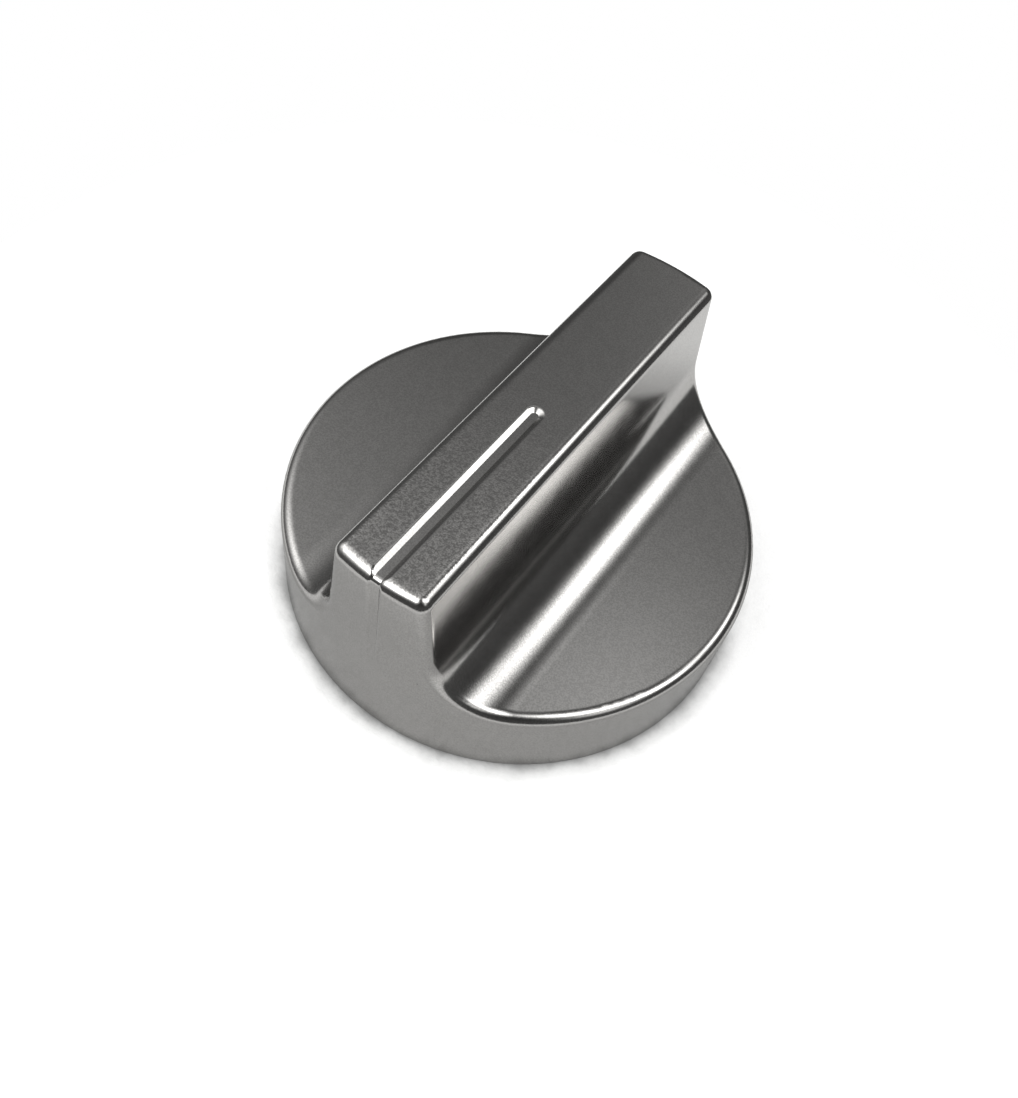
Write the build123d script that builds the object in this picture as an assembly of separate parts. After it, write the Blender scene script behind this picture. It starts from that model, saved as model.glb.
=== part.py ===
from build123d import *
import math
import os

# Oven control knob: a one-piece zinc die casting with a straight grip bar across a round
# skirt, and a bent spring-steel clip on its hub that presses on the flat of a D shaft.
# Frame: origin at the centre of the foot, +Z up out of the control panel, grip bar along Y,
# pointer end at -Y. All sizes are in millimetres and degrees.

# Overall sizes
skirt_diameter = 42.0      # across the foot of the skirt
knob_height = 22.2         # foot to the top of the grip
shoulder_height = 8.9      # foot to the flat shoulders beside the grip
outer_taper = 0.5          # skirt wall and grip ends lean inwards together

# Grip bar
grip_width = 8.1           # across the top, before its edges are rounded
grip_draft = 6.0           # each side face leans outwards towards the skirt
scoop_radius = 6.1         # hollow sweep from a side face into the shoulder
edge_radius = 1.0          # round the top of the bar, up its ends and round the rim
foot_bevel = 0.35          # outer edge of the foot

# Pointer groove
groove_width = 1.5         # across the top face
groove_floor_width = 0.66
groove_depth = 0.26
groove_stop = 0.85         # from the knob's axis to the groove's blind end
groove_lip_radius = 0.3    # where its sides meet the top face
front_groove_depth = 0.2   # at the top of the end face, fading out below
front_groove_drop = 12.5   # from the top down to where it fades out
groove_nose_radius = edge_radius / 2   # where the floor turns down, inside the round of the bar's edge
groove_overrun = 0.5       # how far its cutter stands proud

# Cored underside
wall = 2.0                 # skirt, shoulders and bar are one even wall
hub_recess = 1.6           # the hub stops short of the foot
rib_count = 4
rib_thickness = 1.5
rib_recess = 2.8           # the ribs stop short of the foot
first_rib_angle = 45.0
rib_root_radius = 0.6      # where a rib meets the hub

# Shaft socket, for a round shaft with one flat
shaft_radius = 3.0
shaft_flat = 1.6           # from the shaft's axis to its flat
socket_clearance = 0.05
lead_in_clearance = 0.3
lead_in_length = 3.4       # round mouth of the socket
socket_depth = 16.0        # hub mouth to the blind end
mouth_chamfer = 0.3

# Spring clip, a strip folded over the hub's wall on the pointer side
clip_thickness = 0.35
clip_width = 3.0
clip_side_clearance = 0.15
clip_seat_clearance = 0.05
clip_seat_wall = 1.4       # hub wall that the clip straddles
clip_flat_depth = 0.4      # flat on the hub for the outer leg, below the round
clip_outer_leg = 4.6       # straight leg outside the hub
clip_straight = 4.4        # inner leg before it leans in, from the hub's mouth
clip_reach = 0.25          # the leaf's corner, before it is rounded, beyond the shaft's flat
clip_crest_height = 9.4    # from the hub's mouth
clip_tail_height = 13.2    # from the hub's mouth
clip_tail_offset = 0.9     # the tail leans back from the crest
clip_bend_radius = 2.5     # of the leaf's bends, on its centre line
clip_headroom = 0.8        # slot beyond the tail

OVERRUN = 2.0              # how far a cutter passes beyond the face it cuts
TINY = 1e-3

taper_slope = math.tan(math.radians(outer_taper))
draft = math.radians(grip_draft)
foot_radius = skirt_diameter / 2
lead_in_radius = shaft_radius + lead_in_clearance
hub_length = knob_height - hub_recess
slot_width = clip_width + 2 * clip_side_clearance
slot_reach = lead_in_radius + clip_thickness + 3 * clip_seat_clearance
seat_face = slot_reach + clip_seat_wall
hub_radius = seat_face + clip_flat_depth
groove_flare = (groove_width - groove_floor_width) / 2 / groove_depth
ON_FLOOR = (Align.CENTER, Align.CENTER, Align.MIN)


def cone_radius(z, inset=0.0):
    """Radius of the skirt's wall at height z, moved inwards by inset."""
    return foot_radius - z * taper_slope - inset / math.cos(math.radians(outer_taper))


def cross_section(inset):
    """Outline across the bar: shoulders, hollow sweeps and drafted sides, moved in by inset."""
    sweep_z = shoulder_height + scoop_radius
    side_at_sweep = grip_width / 2 + (knob_height - sweep_z) * math.tan(draft)
    sweep_x = side_at_sweep + scoop_radius / math.cos(draft)
    reach = scoop_radius + inset

    def on_sweep(angle):
        return (sweep_x - reach * math.cos(angle), sweep_z - reach * math.sin(angle))

    crest_z = knob_height - inset
    crest_x = grip_width / 2 + inset * math.tan(draft) - inset / math.cos(draft)
    shoulder_end = on_sweep(math.pi / 2)
    side_foot = on_sweep(draft)
    edge = foot_radius + OVERRUN
    half = [
        Line((0, 0), (edge, 0)),
        Line((edge, 0), (edge, shoulder_height - inset)),
        Line((edge, shoulder_height - inset), shoulder_end),
        ThreePointArc(shoulder_end, on_sweep((draft + math.pi / 2) / 2), side_foot),
        Line(side_foot, (crest_x, crest_z)),
        Line((crest_x, crest_z), (0, crest_z)),
    ]
    return make_face(half + [line.mirror(Plane.YZ) for line in half])


def form(inset):
    """The knob's outer form, or the form left inside an even wall of thickness inset."""
    height = knob_height - inset
    cone = Rot(Z=90) * Cone(cone_radius(0, inset), cone_radius(height, inset), height, align=ON_FLOOR)
    prism = extrude(Plane.XZ * cross_section(inset), foot_radius + OVERRUN, both=True)
    return cone & prism


def edges_in_plane(solid, z):
    """The edges of solid that lie in the plane at height z."""
    return [e for e in solid.edges()
            if abs(e.bounding_box().min.Z - z) < TINY and abs(e.bounding_box().max.Z - z) < TINY]


def rim_edges(solid):
    """The edges that run round both shoulders and up the ends of the bar."""
    def on_rim(edge):
        lowest = edge.bounding_box().min.Z
        centre = edge.center()
        between = shoulder_height - TINY < lowest < knob_height - edge_radius
        return between and abs(centre.X) > TINY and math.hypot(centre.X, centre.Y) > 0.9 * foot_radius
    return [e for e in solid.edges() if on_rim(e)]


def outer_form():
    """The outer form with its edges rounded and the foot bevelled."""
    solid = form(0)
    solid = fillet(rim_edges(solid) + edges_in_plane(solid, knob_height), edge_radius)
    return chamfer(edges_in_plane(solid, 0), foot_bevel)


def channel():
    """Cross-section of the groove's cutter, its floor on the origin, flaring upwards."""
    height = groove_depth + groove_overrun
    low, high = groove_floor_width / 2, groove_floor_width / 2 + height * groove_flare
    return Polygon((-low, 0), (low, 0), (high, height), (-high, height), align=None)


def groove_blind_end():
    """Cutter for the groove's blind end, round in plan with sides of the groove's own slope."""
    height = groove_depth + groove_overrun
    low = groove_floor_width / 2
    centre_y = -groove_stop - groove_width / 2
    cone = Cone(low, low + height * groove_flare, height, align=ON_FLOOR)
    return Pos(0, centre_y, knob_height - groove_depth) * cone


def pointer_groove():
    """Cutter for the groove: along the grip, over its end and down the end face till it fades."""
    floor_z = knob_height - groove_depth
    corner_y = front_groove_depth - cone_radius(floor_z)
    fade_z = knob_height - front_groove_drop
    start = (-groove_stop - groove_width / 2, floor_z)
    end = (-cone_radius(fade_z), fade_z)
    path = Plane.YZ * FilletPolyline(start, (corner_y, floor_z), end, radius=groove_nose_radius)
    section = Plane(origin=path @ 0, x_dir=(1, 0, 0), z_dir=path % 0) * channel()
    return groove_blind_end() + sweep(section, path=path)


def groove_lips(solid):
    """The edges where the groove's sides and blind end meet the top face."""
    return [e for e in edges_in_plane(solid, knob_height)
            if abs(e.center().X) < groove_width / 2 + TINY
            and 2 * edge_radius - foot_radius < e.center().Y < 0]


def hub_and_ribs():
    """Round hub, flat on the pointer side for the clip's outer leg, with webs out to the skirt."""
    posts = Pos(Z=hub_recess) * Cylinder(hub_radius, knob_height - hub_recess, align=ON_FLOOR)
    web = Pos(Z=rib_recess) * Box(foot_radius, rib_thickness, knob_height - rib_recess,
                                  align=(Align.MIN, Align.CENTER, Align.MIN))
    for n in range(rib_count):
        posts += Rot(Z=first_rib_angle + n * 360 / rib_count) * web
    roots = [e for e in posts.edges()
             if e.bounding_box().size.Z > hub_length / 2
             and abs(math.hypot(e.center().X, e.center().Y) - hub_radius) < TINY
             and math.hypot(e.center().X - hub_radius, e.center().Y) > rib_thickness]
    posts = fillet(roots, rib_root_radius)
    flat = Pos(0, -seat_face, hub_recess) * Box(2 * hub_radius, hub_radius, clip_outer_leg + clip_seat_wall,
                                                align=(Align.CENTER, Align.MAX, Align.MIN))
    return posts - flat


def cored_pockets():
    """The hollow under the skirt and bar, with the hub and ribs standing in it."""
    return form(wall) - hub_and_ribs()


def shaft_socket():
    """Cutter for the socket: a round mouth, then the D section that turns the shaft."""
    bore = Cylinder(shaft_radius + socket_clearance, socket_depth, align=ON_FLOOR)
    beyond_flat = Pos(0, -shaft_flat - socket_clearance, lead_in_length) * Box(
        2 * shaft_radius + OVERRUN, shaft_radius, socket_depth, align=(Align.CENTER, Align.MAX, Align.MIN))
    mouth = Cylinder(lead_in_radius, lead_in_length, align=ON_FLOOR)
    bevel = Cone(lead_in_radius + mouth_chamfer, lead_in_radius, mouth_chamfer, align=ON_FLOOR)
    return Pos(Z=hub_recess) * (bore - beyond_flat + mouth + bevel)


def clip_slot():
    """Cutter for the slot behind the shaft's flat, and for the rounded edge the clip sits on."""
    slot = Pos(0, -shaft_flat, hub_recess) * Box(
        slot_width, slot_reach - shaft_flat, clip_tail_height + clip_headroom,
        align=(Align.CENTER, Align.MAX, Align.MIN))
    radius = clip_seat_wall / 2
    square = Pos(0, -slot_reach, hub_recess) * Box(slot_width, clip_seat_wall, radius,
                                                   align=(Align.CENTER, Align.MAX, Align.MIN))
    rounded = Pos(0, -slot_reach - radius, hub_recess + radius) * Rot(Y=90) * Cylinder(radius, slot_width)
    return slot + (square - rounded)


def knob_body():
    """The casting."""
    body = outer_form() - pointer_groove()
    body = fillet(groove_lips(body), groove_lip_radius)
    return body - cored_pockets() - shaft_socket() - clip_slot()


def shaft_clip():
    """Bent strip: a leg outside the hub, a fold over its wall, and a bowed leaf on the flat."""
    half = clip_thickness / 2
    inner_y = -slot_reach + clip_seat_clearance + half
    outer_y = -seat_face - clip_seat_clearance - half
    fold_z = hub_recess + clip_seat_wall / 2
    fold_y = (inner_y + outer_y) / 2
    crest_y = -shaft_flat + clip_reach - half
    leg = Line((outer_y, fold_z + clip_outer_leg), (outer_y, fold_z))
    fold = ThreePointArc((outer_y, fold_z), (fold_y, fold_z - (inner_y - outer_y) / 2), (inner_y, fold_z))
    leaf = FilletPolyline(
        (inner_y, fold_z),
        (inner_y, hub_recess + clip_straight),
        (crest_y, hub_recess + clip_crest_height),
        (crest_y - clip_tail_offset, hub_recess + clip_tail_height),
        radius=clip_bend_radius)
    strip = trace(leg + fold + leaf, line_width=clip_thickness)
    return extrude(Plane.YZ * strip, clip_width / 2, both=True)


os.makedirs("parts", exist_ok=True)
for name, part in (("knob_body", knob_body()), ("shaft_clip", shaft_clip())):
    export_step(part, f"parts/{name}.step")
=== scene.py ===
import math

import bpy
import numpy as np
from mathutils import Matrix, Vector


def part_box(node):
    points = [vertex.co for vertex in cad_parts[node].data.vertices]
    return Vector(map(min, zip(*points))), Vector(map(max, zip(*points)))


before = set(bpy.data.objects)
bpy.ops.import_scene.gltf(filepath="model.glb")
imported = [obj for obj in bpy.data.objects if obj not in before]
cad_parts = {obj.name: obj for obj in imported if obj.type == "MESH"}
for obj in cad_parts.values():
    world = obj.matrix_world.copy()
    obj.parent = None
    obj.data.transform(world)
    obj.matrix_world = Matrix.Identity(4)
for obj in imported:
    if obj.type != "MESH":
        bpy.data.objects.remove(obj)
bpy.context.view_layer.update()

MM = 0.001

# Camera, looking down on the knob that stands at the origin: degrees, metres from the origin, and
# millimetres of lens and sensor.
CAMERA_AZIMUTH = 24.464
CAMERA_ELEVATION = 56.905
CAMERA_ROLL = 12.906
CAMERA_DISTANCE = 0.098088
FOCAL_LENGTH = 33.809
SENSOR = 36.0
SHIFT = (-0.00208, 0.00556)

# Soft lights of the studio: azimuth from -Y towards +X, elevation, sharpness and radiance.
SOFT_LIGHTS = [
    (105.5, 44, 71.8, 8.2),
    (-21.1, 47, 42, 9.77),
    (79.1, 60.3, 54.6, 6.5),
    (139.1, 42.3, 72, 4.98),
    (-70.1, 48.1, 9.5, 2.56),
    (74.3, 33.3, 64.7, 1.48),
    (-174.4, 64.8, 69.9, 0.67),
    (-144, 53, 40, 0.1),
    (-176.5, 36.6, 25.9, 0.33),
    (-26.5, 25, 52.7, 0.24),
]
ROOM = 0.11  # radiance of the studio's walls at the horizon, falling evenly to nothing overhead

# Floor: a sheet of pale paper, its radius in metres, its rings in millimetres from the shaft's
# axis.
FLOOR_RADIUS = 0.066
FLOOR_COLOUR = (0.49, 0.49, 0.485)
FIBRE_SHADE = 0.975            # share of that colour between the fibres
CONTACT_SHADOW_SHARE = 0.55           # share of it in the painted contact shadow round the foot
CONTACT_SHADOW_RING = (20.8, 21.9)    # over which that painted contact shadow ends
GLOW = 0.6                     # lifts the open paper to white where it is looked at
GLOW_IN_METAL = 0.7            # share of the glow that the metal sees
SEEN_SHADE_RING = (20.2, 23.2)       # over which the paper turns white to the eye; inside it stays grey as painted shade round the foot
MIRRORED_SHADE_RING = (29.0, 41.0)   # over which it does so in the metal; inside it the metal mirrors grey paper, a painted shadow in the reflection
RING_WAVE = 1.2                # span in millimetres over which the creases push the rings

# Heights, radii and drafts of the knob; its top comes from its packed box.
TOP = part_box("knob_body")[1][2]
SHOULDER = 8.9 * MM  # foot to the shoulders beside the grip
FOOT_RADIUS = 21.0 * MM
TAPER = math.tan(math.radians(0.5))
GRIP_HALF = 4.05 * MM  # half the bar's width at its top
GRIP_DRAFT = math.tan(math.radians(6.0))
SKIN = 1.0 * MM  # deeper than this is inside the casting's wall
SKIN_BLUR = 0.2 * MM  # over which the plate gives way to the as-cast skin

# Where the finish of the body changes, in millimetres.
EDGE_EASE = 0.3                # radius by which the shading of the edges is softened
EASE_FROM = (0.9, 1.3)         # off the middle plane, so the groove's lips stay crisp
FLAT_TOP = (0.12, 0.02)        # below the bar's top, over which the coarser grain and its painted glint come in
BESIDE_GROOVE = (0.75, 1.0)    # off the middle plane, over which it does
TOWARDS_FRONT = (3.0, -15.0)   # along Y, over which it does

# Colours of the metals; a pair is blended by the slow drift of the grain.
PLATE = ((0.408, 0.401, 0.39), (0.42, 0.413, 0.402))
RUBBED_PLATE = (0.46, 0.457, 0.45)
CAST_SKIN = ((0.33, 0.327, 0.322), (0.39, 0.387, 0.38))
PINHOLE = (0.05, 0.05, 0.05)
DUST = (0.75, 0.75, 0.73)
STRIP = ((0.5, 0.495, 0.48), (0.55, 0.54, 0.515))
ROLLED_LINE = (0.36, 0.35, 0.33)
RUBBED_BEND = (0.68, 0.67, 0.65)
STRIP_PIT = (0.12, 0.1, 0.08)


def add(tree, kind, **values):
    """A node of that kind, its properties and its input sockets set by name."""
    node = tree.nodes.new(kind)
    for name, value in values.items():
        if name in node.bl_rna.properties:
            setattr(node, name, value)
        else:
            node.inputs[name.replace("_", " ")].default_value = value
    return node


def maths(tree, operation, *values, clamp=False):
    """A Math node on sockets or plain numbers; gives its output socket."""
    node = tree.nodes.new("ShaderNodeMath")
    node.operation = operation
    node.use_clamp = clamp
    for socket, value in zip(node.inputs, values):
        if isinstance(value, (int, float)):
            socket.default_value = value
        else:
            tree.links.new(value, socket)
    return node.outputs[0]


def ramp(tree, value, low, high, to_low=0.0, to_high=1.0):
    """Smooth step of a socket from low..high to to_low..to_high; gives its output socket."""
    node = add(tree, "ShaderNodeMapRange", interpolation_type="SMOOTHSTEP",
               From_Min=low, From_Max=high, To_Min=to_low, To_Max=to_high)
    tree.links.new(value, node.inputs["Value"])
    return node.outputs["Result"]


def direction(azimuth, elevation):
    """Unit vector: azimuth from -Y towards +X, elevation up from the floor, in degrees."""
    a, e = math.radians(azimuth), math.radians(elevation)
    return Vector((math.sin(a) * math.cos(e), -math.cos(a) * math.cos(e), math.sin(e)))


# ---------------------------------------------------------------- camera and light

def make_camera():
    """The camera aims at the origin, rolled about its view and shifted in its plane."""
    back = direction(CAMERA_AZIMUTH, CAMERA_ELEVATION)
    right = (-back).cross(Vector((0, 0, 1))).normalized()
    up = right.cross(-back)
    roll = math.radians(CAMERA_ROLL)
    right, up = (right * math.cos(roll) + up * math.sin(roll),
                 up * math.cos(roll) - right * math.sin(roll))
    data = bpy.data.cameras.new("camera")
    data.sensor_fit = "VERTICAL"
    data.sensor_height = SENSOR
    data.lens = FOCAL_LENGTH
    data.shift_x, data.shift_y = SHIFT
    data.clip_start = 0.001
    camera = bpy.data.objects.new("camera", data)
    placed = Matrix((right, up, back)).transposed().to_4x4()
    placed.translation = back * CAMERA_DISTANCE
    camera.matrix_world = placed
    bpy.context.scene.collection.objects.link(camera)
    bpy.context.scene.camera = camera


def make_world():
    """Soft lights in a dim room, and white where the camera looks past everything. Each light's
    radiance falls off as exp(sharpness * (cosine of the angle from its middle - 1))."""
    world = bpy.data.worlds.new("studio")
    bpy.context.scene.world = world
    world.use_nodes = True
    tree = world.node_tree
    tree.nodes.clear()
    ray = add(tree, "ShaderNodeTexCoord").outputs["Generated"]
    split = add(tree, "ShaderNodeSeparateXYZ")
    tree.links.new(ray, split.inputs[0])
    height = maths(tree, "MAXIMUM", split.outputs["Z"], 0.0)
    total = maths(tree, "MULTIPLY_ADD", height, -ROOM, ROOM)
    for azimuth, elevation, sharpness, radiance in SOFT_LIGHTS:
        cosine = add(tree, "ShaderNodeVectorMath", operation="DOT_PRODUCT")
        tree.links.new(ray, cosine.inputs[0])
        cosine.inputs[1].default_value = direction(azimuth, elevation)
        power = maths(tree, "MULTIPLY_ADD", cosine.outputs["Value"], sharpness, -sharpness)
        total = maths(tree, "MULTIPLY_ADD", maths(tree, "EXPONENT", power), radiance, total)
    light = add(tree, "ShaderNodeBackground")
    tree.links.new(total, light.inputs["Color"])
    white = add(tree, "ShaderNodeBackground", Color=(1, 1, 1, 1), Strength=1.0)
    path = add(tree, "ShaderNodeLightPath")
    mix = add(tree, "ShaderNodeMixShader")
    tree.links.new(path.outputs["Is Camera Ray"], mix.inputs["Fac"])
    tree.links.new(light.outputs[0], mix.inputs[1])
    tree.links.new(white.outputs[0], mix.inputs[2])
    out = add(tree, "ShaderNodeOutputWorld")
    tree.links.new(mix.outputs[0], out.inputs["Surface"])


# ---------------------------------------------------------------- shared shader groups

def new_group(name, inputs, outputs):
    """An empty shader group with float sockets: inputs are (name, default), outputs are names.
    Gives the group, what it is given and what it puts out."""
    group = bpy.data.node_groups.new(name, "ShaderNodeTree")
    for label, default in inputs:
        socket = group.interface.new_socket(
            label, in_out="INPUT", socket_type="NodeSocketFloat")
        socket.default_value = default
    for label in outputs:
        group.interface.new_socket(label, in_out="OUTPUT", socket_type="NodeSocketFloat")
    return group, add(group, "NodeGroupInput").outputs, add(group, "NodeGroupOutput").inputs


def object_coordinates(tree, scale=None):
    """Object coordinates in millimetres, divided by a size socket where one is given."""
    point = add(tree, "ShaderNodeTexCoord").outputs["Object"]
    in_mm = add(tree, "ShaderNodeVectorMath", operation="SCALE", Scale=1 / MM)
    tree.links.new(point, in_mm.inputs[0])
    if scale is None:
        return in_mm.outputs["Vector"]
    sized = add(tree, "ShaderNodeVectorMath", operation="SCALE")
    tree.links.new(in_mm.outputs["Vector"], sized.inputs[0])
    tree.links.new(maths(tree, "DIVIDE", 1.0, scale), sized.inputs["Scale"])
    return sized.outputs["Vector"]


def make_fine_grain():
    """Blasted grain: Height is noise of that size in millimetres with a finer one on it, and
    Tone is a slow drift, ten times as large, for colour and roughness."""
    group, given, out = new_group(
        "fine_grain", [("Size", 0.15), ("Detail", 1.0)], ["Height", "Tone"])
    fine = add(group, "ShaderNodeTexNoise", noise_dimensions="3D", Scale=1.0, Roughness=0.6)
    group.links.new(object_coordinates(group, given["Size"]), fine.inputs["Vector"])
    group.links.new(given["Detail"], fine.inputs["Detail"])
    group.links.new(fine.outputs["Fac"], out["Height"])
    slow = add(group, "ShaderNodeTexNoise", noise_dimensions="3D", Scale=0.1, Detail=3.0)
    group.links.new(object_coordinates(group, given["Size"]), slow.inputs["Vector"])
    group.links.new(ramp(group, slow.outputs["Fac"], 0.3, 0.7), out["Tone"])
    return group


def make_edge_wear():
    """Rubbed edges: rays sent back into the metal come out again within Reach near an edge, so
    Wear rises there; a slow noise breaks it up."""
    group, given, out = new_group(
        "edge_wear", [("Reach", 1.0), ("Patch Size", 2.0)], ["Wear"])
    inward = add(group, "ShaderNodeAmbientOcclusion", inside=True, samples=8)
    group.links.new(maths(group, "MULTIPLY", given["Reach"], MM), inward.inputs["Distance"])
    edge = ramp(group, inward.outputs["AO"], 0.95, 0.45)
    patches = add(group, "ShaderNodeTexNoise", noise_dimensions="3D", Scale=1.0, Detail=4.0)
    group.links.new(object_coordinates(group, given["Patch Size"]), patches.inputs["Vector"])
    broken = ramp(group, patches.outputs["Fac"], 0.35, 0.65, 0.35, 1.0)
    group.links.new(maths(group, "MULTIPLY", edge, broken), out["Wear"])
    return group


def make_specks():
    """Sparse specks: cells of that spacing in millimetres, of which Share hold one round dot of
    that radius; Pits are dark ones in the metal and Dust are pale ones on it."""
    group, given, out = new_group(
        "specks", [("Spacing", 2.0), ("Radius", 0.06), ("Share", 0.3)], ["Pits", "Dust"])
    cells = add(group, "ShaderNodeTexVoronoi", voronoi_dimensions="3D", feature="F1", Scale=1.0)
    group.links.new(object_coordinates(group, given["Spacing"]), cells.inputs["Vector"])
    chance = add(group, "ShaderNodeSeparateColor")
    group.links.new(cells.outputs["Color"], chance.inputs["Color"])
    away = maths(group, "MULTIPLY", cells.outputs["Distance"], given["Spacing"])
    size = maths(group, "ADD", chance.outputs["Blue"], 0.4)
    size = maths(group, "MULTIPLY", given["Radius"], size)
    dot = ramp(group, maths(group, "DIVIDE", away, size), 1.2, 0.7)
    chosen = maths(group, "LESS_THAN", chance.outputs["Red"], given["Share"])
    spot = maths(group, "MULTIPLY", dot, chosen)
    pale = maths(group, "GREATER_THAN", chance.outputs["Green"], 0.5)
    dark = maths(group, "SUBTRACT", 1.0, pale)
    group.links.new(maths(group, "MULTIPLY", spot, pale), out["Dust"])
    group.links.new(maths(group, "MULTIPLY", spot, dark), out["Pits"])
    return group


# ---------------------------------------------------------------- materials

def new_material(name):
    """A material of one Principled shader; gives the material, its tree and the shader."""
    material = bpy.data.materials.new(name)
    material.use_nodes = True
    tree = material.node_tree
    tree.nodes.clear()
    shader = add(tree, "ShaderNodeBsdfPrincipled")
    out = add(tree, "ShaderNodeOutputMaterial")
    tree.links.new(shader.outputs[0], out.inputs["Surface"])
    return material, tree, shader


def place(tree, group, **values):
    """A shared group placed in a material with its own values; gives its output sockets."""
    node = tree.nodes.new("ShaderNodeGroup")
    node.node_tree = group
    for name, value in values.items():
        node.inputs[name.replace("_", " ")].default_value = value
    return node.outputs


def blend(tree, factor, first, second, mode="MIX"):
    """Colour mix by a factor, a socket or a number; each colour is a socket or three numbers."""
    node = add(tree, "ShaderNodeMix", data_type="RGBA", blend_type=mode)
    given = ((node.inputs[0], factor), (node.inputs[6], first), (node.inputs[7], second))
    for socket, value in given:
        if isinstance(value, bpy.types.NodeSocket):
            tree.links.new(value, socket)
        else:
            socket.default_value = value if isinstance(value, float) else (*value, 1.0)
    return node.outputs[2]


def mottle(tree, colour, height, span, shades):
    """A colour times the first to the second shade while the height crosses the span."""
    shade = blend(tree, ramp(tree, height, *span), (shades[0],) * 3, (shades[1],) * 3)
    return blend(tree, 1.0, colour, shade, "MULTIPLY")


def bump(tree, height, distance, below=None):
    """A Bump node, its distance in metres, on the normal of the one below it."""
    node = add(tree, "ShaderNodeBump", Strength=1.0, Distance=distance)
    tree.links.new(height, node.inputs["Height"])
    if below is not None:
        tree.links.new(below, node.inputs["Normal"])
    return node.outputs["Normal"]


def inside_casting(tree):
    """1 on the cored underside, 0 on the outside: more than a skin's depth in from the skirt's
    cone and below the shoulders, or in from the bar's two sides and below its top."""
    split = add(tree, "ShaderNodeSeparateXYZ")
    tree.links.new(add(tree, "ShaderNodeTexCoord").outputs["Object"], split.inputs[0])
    x, y, z = split.outputs
    squares = maths(tree, "ADD", maths(tree, "MULTIPLY", x, x), maths(tree, "MULTIPLY", y, y))
    radius = maths(tree, "SQRT", squares)
    cone = maths(tree, "MULTIPLY_ADD", z, -TAPER, FOOT_RADIUS - SKIN)
    in_cone = ramp(tree, maths(tree, "SUBTRACT", cone, radius), 0.0, SKIN_BLUR)
    below_shoulder = ramp(tree, z, SHOULDER - SKIN, SHOULDER - SKIN - SKIN_BLUR)
    half = maths(tree, "MULTIPLY_ADD", z, -GRIP_DRAFT, GRIP_HALF + TOP * GRIP_DRAFT - SKIN)
    from_side = maths(tree, "SUBTRACT", half, maths(tree, "ABSOLUTE", x))
    in_bar = ramp(tree, from_side, 0.0, SKIN_BLUR)
    below_top = ramp(tree, z, TOP - SKIN, TOP - SKIN - SKIN_BLUR)
    core = maths(tree, "MAXIMUM", below_shoulder, maths(tree, "MULTIPLY", in_bar, below_top))
    return maths(tree, "MULTIPLY", in_cone, core)


def satin_nickel(groups):
    """Satin nickel plate on a zinc casting: even blasted grain with a coarser grain, raised as
    bumps, on the front of the bar's top, whose light and dark flecks of colour there are a painted
    glint, softened edges that are rubbed a little smoother and brighter, sparse pinholes and dust,
    and a duller as-cast skin inside."""
    material, tree, shader = new_material("satin_nickel")
    shader.inputs["Metallic"].default_value = 1.0
    grain = place(tree, groups["fine_grain"], Size=0.13, Detail=1.0)
    coarse = place(tree, groups["fine_grain"], Size=0.26, Detail=2.0)
    cast = place(tree, groups["fine_grain"], Size=0.6, Detail=4.0)
    wear = place(tree, groups["edge_wear"], Reach=1.1, Patch_Size=1.6)["Wear"]
    specks = place(tree, groups["specks"], Spacing=1.9, Radius=0.05, Share=0.2)
    inside = inside_casting(tree)

    across = add(tree, "ShaderNodeSeparateXYZ")
    tree.links.new(object_coordinates(tree), across.inputs[0])
    x, y, z = across.outputs
    off_middle = maths(tree, "ABSOLUTE", x)
    on_top = ramp(tree, z, TOP / MM - FLAT_TOP[0], TOP / MM - FLAT_TOP[1])
    front_top = maths(tree, "MULTIPLY", on_top, ramp(tree, y, *TOWARDS_FRONT))
    front_top = maths(tree, "MULTIPLY", front_top, ramp(tree, off_middle, *BESIDE_GROOVE))
    eased = add(tree, "ShaderNodeBevel", samples=8)
    ease = ramp(tree, off_middle, *EASE_FROM, 0.0, EDGE_EASE * MM)
    tree.links.new(ease, eased.inputs["Radius"])

    plate = blend(tree, grain["Tone"], *PLATE)
    plate = mottle(tree, plate, grain["Height"], (0.35, 0.65), (0.9, 1.1))
    # Painted glint: the coarser grain flecks the plate's colour lighter and darker, used only on
    # the front of the bar's top.
    painted_glint_plate = mottle(tree, plate, coarse["Height"], (0.36, 0.64), (0.83, 1.22))
    plate = blend(tree, front_top, plate, painted_glint_plate)
    plate = blend(tree, maths(tree, "MULTIPLY", wear, 0.5), plate, RUBBED_PLATE)
    colour = blend(tree, inside, plate, blend(tree, cast["Tone"], *CAST_SKIN))
    colour = blend(tree, specks["Pits"], colour, PINHOLE)
    colour = blend(tree, maths(tree, "MULTIPLY", specks["Dust"], 0.35), colour, DUST)
    tree.links.new(colour, shader.inputs["Base Color"])

    rough = ramp(tree, grain["Tone"], 0.0, 1.0, 0.14, 0.16)
    rough = maths(tree, "SUBTRACT", rough, maths(tree, "MULTIPLY", wear, 0.02))
    rough = maths(tree, "MULTIPLY_ADD", inside, 0.16, rough)
    rough = maths(tree, "MULTIPLY_ADD", specks["Pits"], 0.4, rough, clamp=True)
    tree.links.new(rough, shader.inputs["Roughness"])

    normal = bump(tree, grain["Height"], 0.0016 * MM, eased.outputs["Normal"])
    sparkle = maths(tree, "MULTIPLY", coarse["Height"], front_top)
    normal = bump(tree, sparkle, 0.016 * MM, normal)
    normal = bump(tree, maths(tree, "MULTIPLY", cast["Height"], inside), 0.05 * MM, normal)
    unpitted = maths(tree, "SUBTRACT", 1.0, specks["Pits"])
    tree.links.new(bump(tree, unpitted, 0.01 * MM, normal), shader.inputs["Normal"])
    return material


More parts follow.
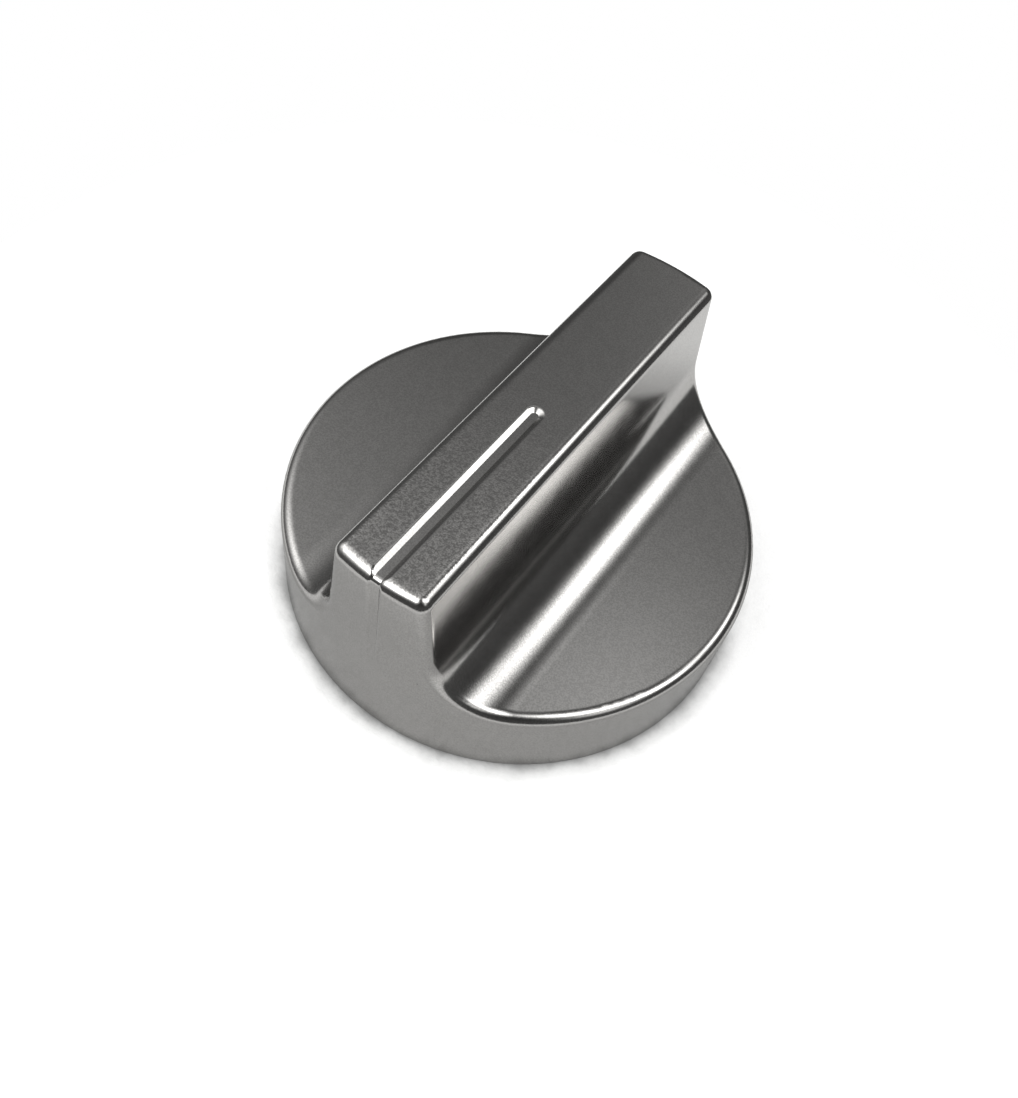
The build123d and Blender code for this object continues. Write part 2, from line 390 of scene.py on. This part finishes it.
def spring_steel(groups):
    """Bright rolled spring strip: fine lines along the strip, a faint straw tint, rubbed bends."""
    material, tree, shader = new_material("spring_steel")
    shader.inputs["Metallic"].default_value = 1.0
    grain = place(tree, groups["fine_grain"], Size=0.2, Detail=2.0)
    wear = place(tree, groups["edge_wear"], Reach=0.16, Patch_Size=0.8)["Wear"]
    specks = place(tree, groups["specks"], Spacing=0.9, Radius=0.03, Share=0.2)
    along_strip = add(tree, "ShaderNodeMapping", Scale=(18.0, 0.5, 0.5))
    tree.links.new(object_coordinates(tree), along_strip.inputs["Vector"])
    lines = add(tree, "ShaderNodeTexNoise", noise_dimensions="3D",
                Scale=1.0, Detail=3.0, Roughness=0.6)
    tree.links.new(along_strip.outputs["Vector"], lines.inputs["Vector"])
    rolled = lines.outputs["Fac"]

    colour = blend(tree, grain["Tone"], *STRIP)
    colour = blend(tree, ramp(tree, rolled, 0.35, 0.6, 0.35, 0.0), colour, ROLLED_LINE)
    colour = blend(tree, maths(tree, "MULTIPLY", wear, 0.6), colour, RUBBED_BEND)
    colour = blend(tree, specks["Pits"], colour, STRIP_PIT)
    tree.links.new(colour, shader.inputs["Base Color"])

    rough = ramp(tree, rolled, 0.3, 0.7, 0.34, 0.22)
    rough = maths(tree, "SUBTRACT", rough, maths(tree, "MULTIPLY", wear, 0.05))
    tree.links.new(rough, shader.inputs["Roughness"])

    normal = bump(tree, rolled, 0.004 * MM)
    normal = bump(tree, grain["Height"], 0.001 * MM, normal)
    tree.links.new(normal, shader.inputs["Normal"])
    return material


def pale_paper():
    """Pale paper with shallow creases and a painted contact shadow, darker round the foot. Where
    it is looked at, straight or in the metal, it glows a little from a ring outwards, so that it
    is white there but for the knob's shadow; inside the rings it stays grey as painted shade round
    the knob, also where the metal mirrors it."""
    material, tree, shader = new_material("pale_paper")
    shader.inputs["Roughness"].default_value = 0.9
    shader.inputs["Specular IOR Level"].default_value = 0.0
    point = object_coordinates(tree)
    creases = add(tree, "ShaderNodeTexNoise", noise_dimensions="3D",
                  Scale=0.35, Detail=4.0, Roughness=0.55)
    tree.links.new(point, creases.inputs["Vector"])
    fibres = add(tree, "ShaderNodeTexNoise", noise_dimensions="3D", Scale=3.0, Detail=2.0)
    tree.links.new(point, fibres.inputs["Vector"])
    tree.links.new(bump(tree, creases.outputs["Fac"], 0.5 * MM), shader.inputs["Normal"])

    from_axis = add(tree, "ShaderNodeVectorMath", operation="LENGTH")
    tree.links.new(point, from_axis.inputs[0])
    away = maths(tree, "MULTIPLY_ADD", creases.outputs["Fac"], RING_WAVE,
                 from_axis.outputs["Value"])
    away = maths(tree, "SUBTRACT", away, RING_WAVE / 2)
    low = [FIBRE_SHADE * c for c in FLOOR_COLOUR]
    contact_shadow = [CONTACT_SHADOW_SHARE * c for c in FLOOR_COLOUR]
    paper = blend(tree, fibres.outputs["Fac"], low, FLOOR_COLOUR)
    # Painted contact shadow: the paper's colour is darkened in a ring round the foot, its edge
    # made wavy by the creases.
    paper = blend(tree, ramp(tree, away, *CONTACT_SHADOW_RING), contact_shadow, paper)
    tree.links.new(paper, shader.inputs["Base Color"])

    # The glow starts only beyond the rings, so the paper near the knob stays grey: painted shade
    # round the foot, seen straight and mirrored in the metal.
    path = add(tree, "ShaderNodeLightPath")
    by_eye = ramp(tree, away, *SEEN_SHADE_RING)
    by_eye = maths(tree, "MULTIPLY", path.outputs["Is Camera Ray"], by_eye)
    in_metal = ramp(tree, away, *MIRRORED_SHADE_RING, 0.0, GLOW_IN_METAL)
    in_metal = maths(tree, "MULTIPLY", path.outputs["Is Glossy Ray"], in_metal)
    strength = maths(tree, "MULTIPLY", maths(tree, "MAXIMUM", by_eye, in_metal), GLOW)
    glow = add(tree, "ShaderNodeEmission", Color=(1, 1, 1, 1))
    tree.links.new(strength, glow.inputs["Strength"])
    both = add(tree, "ShaderNodeAddShader")
    tree.links.new(shader.outputs[0], both.inputs[0])
    tree.links.new(glow.outputs[0], both.inputs[1])
    out = next(node for node in tree.nodes if node.type == "OUTPUT_MATERIAL")
    tree.links.new(both.outputs[0], out.inputs["Surface"])
    return material


# ---------------------------------------------------------------- floor

def make_floor():
    """Round floor at z = 0: point j of ring k lies at radius R * k / rings and at angle
    2 pi * j / around, and a fan of triangles fills the innermost ring."""
    rings, around = 24, 96
    radius = FLOOR_RADIUS * np.linspace(0, 1, rings + 1)[1:, None]
    angle = np.linspace(0, 2 * np.pi, around, endpoint=False)[None, :]
    level = np.zeros((rings, around))
    grid = np.stack([radius * np.cos(angle), radius * np.sin(angle), level], -1)
    points = np.vstack([np.zeros((1, 3)), grid.reshape(-1, 3)])
    first = 1 + np.arange(around)
    fan = np.stack([np.zeros(around, int), first, np.roll(first, -1)], -1)
    ring = 1 + np.arange((rings - 1) * around).reshape(rings - 1, around)
    quads = np.stack([ring, ring + around,
                      np.roll(ring + around, -1, 1), np.roll(ring, -1, 1)], -1)
    mesh = bpy.data.meshes.new("floor")
    mesh.from_pydata(points.tolist(), [], fan.tolist() + quads.reshape(-1, 4).tolist())
    mesh.materials.append(pale_paper())
    floor = bpy.data.objects.new("floor", mesh)
    bpy.context.scene.collection.objects.link(floor)


def finish_part(name, material):
    """Puts a material in every slot of a part."""
    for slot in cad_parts[name].material_slots:
        slot.material = material


groups = {
    "fine_grain": make_fine_grain(),
    "edge_wear": make_edge_wear(),
    "specks": make_specks(),
}
finish_part("knob_body", satin_nickel(groups))
finish_part("shaft_clip", spring_steel(groups))
make_camera()
make_world()
make_floor()
bpy.context.scene.view_settings.view_transform = "Standard"
